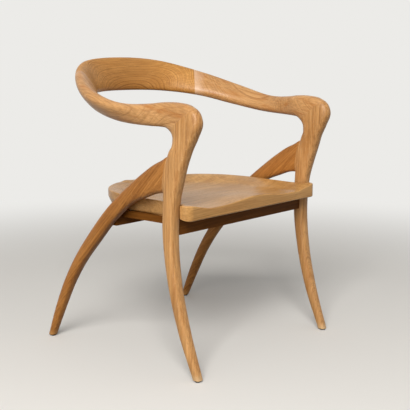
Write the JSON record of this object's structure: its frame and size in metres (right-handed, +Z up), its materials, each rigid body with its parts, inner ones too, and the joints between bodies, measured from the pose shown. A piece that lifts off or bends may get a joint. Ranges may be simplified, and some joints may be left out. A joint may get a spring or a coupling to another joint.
{
  "type": "wooden armchair",
  "caption": "Sculpted wooden armchair: arms and crest rail run in one bow from flowing front legs, raking rear legs branch off them, and a dished seat sits on rails.",
  "frame": {"origin": "on the floor under the middle of the chair's bounding box", "axes": "+Z up, +X to the sitter's left, -Y the way the chair faces"},
  "size_m": [0.6554, 0.5796, 0.7957],
  "materials": {
    "oak_light": "satin oiled, straight grain",
    "oak_arm": "satin oiled, flowing grain",
    "oak_crest": "satin oiled, arched grain",
    "oak_rear": "satin oiled, warm brown",
    "oak_seat": "satin oiled, edge-glued boards",
    "oak_rail": "satin oiled",
    "beech": "plain, unfinished",
    "screw_steel": "plated",
    "glide_nylon": "matt nylon"
  },
  "bodies": {
    "root": {"crest_rail": "oak_crest", "left_arm": "oak_arm", "right_arm": "oak_arm", "left_front_leg": "oak_light", "right_front_leg": "oak_light", "left_rear_leg": "oak_rear", "right_rear_leg": "oak_rear", "front_rail": "oak_rail", "rear_rail": "oak_rail", "left_seat_bearer": "oak_rail", "right_seat_bearer": "oak_rail", "seat_board_1": "oak_seat", "seat_board_2": "oak_seat", "seat_board_3": "oak_seat", "seat_board_4": "oak_seat", "left_mitre_tenon": "beech", "right_mitre_tenon": "beech", "left_root_tenon": "beech", "right_root_tenon": "beech", "crest_dowels": "beech", "bearer_dowels": "beech", "seat_screws": "screw_steel", "left_front_glide": "glide_nylon", "right_front_glide": "glide_nylon", "left_rear_glide": "glide_nylon", "right_rear_glide": "glide_nylon"}
  },
  "joints": []
}
